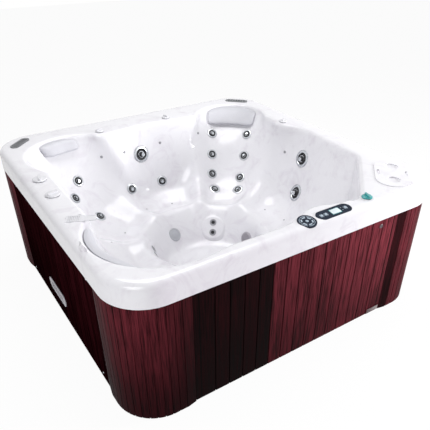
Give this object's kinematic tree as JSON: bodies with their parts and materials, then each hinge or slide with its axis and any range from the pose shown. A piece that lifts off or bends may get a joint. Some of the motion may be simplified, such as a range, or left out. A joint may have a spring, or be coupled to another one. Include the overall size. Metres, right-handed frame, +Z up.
{
  "type": "hot tub",
  "caption": "Square portable hot tub with moulded seats, pillows, jets, rim controls, filter well and a slatted cabinet.",
  "frame": {"origin": "centre of the footprint on the ground", "axes": "+Z up; -Y is the side with the control panel and the access panel; +X runs along that side to the right, toward the filter corner"},
  "size_m": [2.15, 2.15, 0.8903],
  "materials": {
    "shell": "glossy white acrylic",
    "base": "moulded black base",
    "timber": "plain treated softwood",
    "cabinet": "mahogany coloured synthetic slats",
    "cabinet_corner": "mahogany coloured synthetic slats",
    "steel": "brushed",
    "dark_plastic": "dark grey, slightly glossy",
    "pump_case": "black enamel",
    "box": "pale grey enamel",
    "pipe": "white pipe",
    "pillow": "soft grey foam skin",
    "lens": "clear lens",
    "panel": "dark blue-grey overlay",
    "key": "pale key",
    "knob": "silver finish",
    "knob_lit": "translucent teal"
  },
  "bodies": {
    "tub": {"shell": "shell", "base_pan": "base", "frame": "timber", "back_panel": "cabinet", "left_panel": "cabinet", "right_panel": "cabinet", "corner_near": "cabinet_corner", "corner_right": "cabinet_corner", "corner_far": "cabinet_corner", "corner_left": "cabinet_corner", "panel_screws": "steel", "cabinet_vents": "dark_plastic", "pump": "pump_case", "blower": "pump_case", "spa_pack": "box", "plumbing": "pipe", "filter_housing": "pipe", "pillow_far": "pillow", "pillow_left": "pillow", "pillow_near": "pillow", "speakers": "dark_plastic", "jet_bodies": "dark_plastic", "air_injectors": "dark_plastic", "light_lens": "lens", "suction_cover": "dark_plastic", "foot_jets": "dark_plastic", "waterfall": "shell", "control_panel": "panel", "aux_panel": "panel", "valve_bodies": "dark_plastic"},
    "jet_far_1": {"jet_far_1": "steel"},
    "jet_far_2": {"jet_far_2": "steel"},
    "jet_far_3": {"jet_far_3": "steel"},
    "jet_far_4": {"jet_far_4": "steel"},
    "jet_far_5": {"jet_far_5": "steel"},
    "jet_far_6": {"jet_far_6": "steel"},
    "jet_far_7": {"jet_far_7": "steel"},
    "jet_far_8": {"jet_far_8": "steel"},
    "jet_right_1": {"jet_right_1": "steel"},
    "jet_right_2": {"jet_right_2": "steel"},
    "jet_back_1": {"jet_back_1": "steel"},
    "jet_back_2": {"jet_back_2": "steel"},
    "jet_back_3": {"jet_back_3": "steel"},
    "jet_left_1": {"jet_left_1": "steel"},
    "jet_left_2": {"jet_left_2": "steel"},
    "jet_left_3": {"jet_left_3": "steel"},
    "knob_left_1": {"knob_left_1": "knob"},
    "knob_left_2": {"knob_left_2": "knob"},
    "knob_back_1": {"knob_back_1": "knob"},
    "knob_back_2": {"knob_back_2": "knob"},
    "knob_right": {"knob_right": "knob"},
    "knob_lit": {"knob_lit": "knob_lit"},
    "button_jets": {"button_jets": "key"},
    "button_light": {"button_light": "key"},
    "button_temperature": {"button_temperature": "key"},
    "button_blower": {"button_blower": "key"},
    "filter_lid": {"filter_lid": "shell"},
    "filter_cartridge": {"filter_cartridge": "pipe"},
    "front_panel": {"front_panel": "cabinet"},
    "panel_lock": {"panel_lock": "steel"}
  },
  "joints": [
    {"name": "jet_far_1_turn", "type": "hinge", "parent": "tub", "child": "jet_far_1", "pos_m": [0.57029, 0.7707, 0.69081], "axis": [-0.0823, -0.7087, 0.7007], "range_deg": [0, 90]},
    {"name": "jet_far_2_turn", "type": "hinge", "parent": "tub", "child": "jet_far_2", "pos_m": [0.50032, 0.66394, 0.56055], "axis": [-0.098, -0.8135, 0.5733], "range_deg": [0, 90]},
    {"name": "jet_far_3_turn", "type": "hinge", "parent": "tub", "child": "jet_far_3", "pos_m": [0.44695, 0.58248, 0.42987], "axis": [-0.0181, -0.8084, 0.5883], "range_deg": [0, 90]},
    {"name": "jet_far_4_turn", "type": "hinge", "parent": "tub", "child": "jet_far_4", "pos_m": [0.40982, 0.4884, 0.3367], "axis": [-0.0043, -0.4677, 0.8839], "range_deg": [0, 90]},
    {"name": "jet_far_5_turn", "type": "hinge", "parent": "tub", "child": "jet_far_5", "pos_m": [0.79764, 0.58807, 0.69333], "axis": [-0.6984, -0.2638, 0.6653], "range_deg": [0, 90]},
    {"name": "jet_far_6_turn", "type": "hinge", "parent": "tub", "child": "jet_far_6", "pos_m": [0.71935, 0.51311, 0.54975], "axis": [-0.7531, -0.3632, 0.5486], "range_deg": [0, 90]},
    {"name": "jet_far_7_turn", "type": "hinge", "parent": "tub", "child": "jet_far_7", "pos_m": [0.62939, 0.43744, 0.40675], "axis": [-0.6521, -0.2547, 0.714], "range_deg": [0, 90]},
    {"name": "jet_far_8_turn", "type": "hinge", "parent": "tub", "child": "jet_far_8", "pos_m": [0.56241, 0.37225, 0.33972], "axis": [-0.4752, -0.1693, 0.8634], "range_deg": [0, 90]},
    {"name": "jet_right_1_turn", "type": "hinge", "parent": "tub", "child": "jet_right_1", "pos_m": [0.87101, -0.02129, 0.67179], "axis": [-0.9493, 0.0564, 0.3092], "range_deg": [0, 90]},
    {"name": "jet_right_2_turn", "type": "hinge", "parent": "tub", "child": "jet_right_2", "pos_m": [0.77481, -0.08828, 0.44216], "axis": [-0.887, 0.1927, 0.4195], "range_deg": [0, 90]},
    {"name": "jet_back_1_turn", "type": "hinge", "parent": "tub", "child": "jet_back_1", "pos_m": [-0.0859, 0.76586, 0.65577], "axis": [0.1359, -0.9674, 0.2138], "range_deg": [0, 90]},
    {"name": "jet_back_2_turn", "type": "hinge", "parent": "tub", "child": "jet_back_2", "pos_m": [-0.23374, 0.66746, 0.43905], "axis": [0.0992, -0.9259, 0.3646], "range_deg": [0, 90]},
    {"name": "jet_back_3_turn", "type": "hinge", "parent": "tub", "child": "jet_back_3", "pos_m": [0.04548, 0.70334, 0.4208], "axis": [-0.0982, -0.919, 0.3819], "range_deg": [0, 90]},
    {"name": "jet_left_1_turn", "type": "hinge", "parent": "tub", "child": "jet_left_1", "pos_m": [-0.61482, 0.74056, 0.57297], "axis": [0.2739, -0.7745, 0.5702], "range_deg": [0, 90]},
    {"name": "jet_left_2_turn", "type": "hinge", "parent": "tub", "child": "jet_left_2", "pos_m": [-0.68819, 0.6284, 0.50098], "axis": [0.5176, -0.5566, 0.6498], "range_deg": [0, 90]},
    {"name": "jet_left_3_turn", "type": "hinge", "parent": "tub", "child": "jet_left_3", "pos_m": [-0.56027, 0.5354, 0.357], "axis": [0.3189, -0.4452, 0.8367], "range_deg": [0, 90]},
    {"name": "knob_left_1_turn", "type": "hinge", "parent": "tub", "child": "knob_left_1", "pos_m": [-0.985, 0, 0.868], "axis": [0, 0, 1], "range_deg": [-90, 90]},
    {"name": "knob_left_2_turn", "type": "hinge", "parent": "tub", "child": "knob_left_2", "pos_m": [-0.985, 0.24, 0.868], "axis": [0, 0, 1], "range_deg": [-90, 90]},
    {"name": "knob_back_1_turn", "type": "hinge", "parent": "tub", "child": "knob_back_1", "pos_m": [-0.365, 0.84, 0.868], "axis": [0, 0, 1], "range_deg": [0, 120]},
    {"name": "knob_back_2_turn", "type": "hinge", "parent": "tub", "child": "knob_back_2", "pos_m": [0.19, 0.85, 0.868], "axis": [0, 0, 1], "range_deg": [0, 120]},
    {"name": "knob_right_turn", "type": "hinge", "parent": "tub", "child": "knob_right", "pos_m": [0.907, 0.272, 0.868], "axis": [0, 0, 1], "range_deg": [0, 120]},
    {"name": "knob_lit_turn", "type": "hinge", "parent": "tub", "child": "knob_lit", "pos_m": [0.47, -1, 0.868], "axis": [0, 0, 1], "range_deg": [0, 120]},
    {"name": "button_jets_press", "type": "slide", "parent": "tub", "child": "button_jets", "axis": [0, 0.1392, -0.9903], "range_m": [0, 0.0015], "stiffness_N_per_m": 400, "springref_m": -0.0005},
    {"name": "button_light_press", "type": "slide", "parent": "tub", "child": "button_light", "axis": [0, 0.1392, -0.9903], "range_m": [0, 0.0015], "stiffness_N_per_m": 400, "springref_m": -0.0005},
    {"name": "button_temperature_press", "type": "slide", "parent": "tub", "child": "button_temperature", "axis": [0, 0.1392, -0.9903], "range_m": [0, 0.0015], "stiffness_N_per_m": 400, "springref_m": -0.0005},
    {"name": "button_blower_press", "type": "slide", "parent": "tub", "child": "button_blower", "axis": [0, 0.1392, -0.9903], "range_m": [0, 0.0015], "stiffness_N_per_m": 400, "springref_m": -0.0005},
    {"name": "filter_lid_lift", "type": "slide", "parent": "tub", "child": "filter_lid", "axis": [0, 0, 1], "range_m": [0, 0.15]},
    {"name": "filter_cartridge_turn", "type": "hinge", "parent": "tub", "child": "filter_cartridge", "pos_m": [0.85268, -0.85268, 0.5], "axis": [0, 0, 1], "range_deg": [0, 180]},
    {"name": "front_panel_off", "type": "slide", "parent": "tub", "child": "front_panel", "axis": [0, -1, 0], "range_m": [0, 0.3]},
    {"name": "panel_lock_turn", "type": "hinge", "parent": "front_panel", "child": "panel_lock", "pos_m": [0.568, -1.06, 0.683], "axis": [0, 1, 0], "range_deg": [0, 90]}
  ]
}
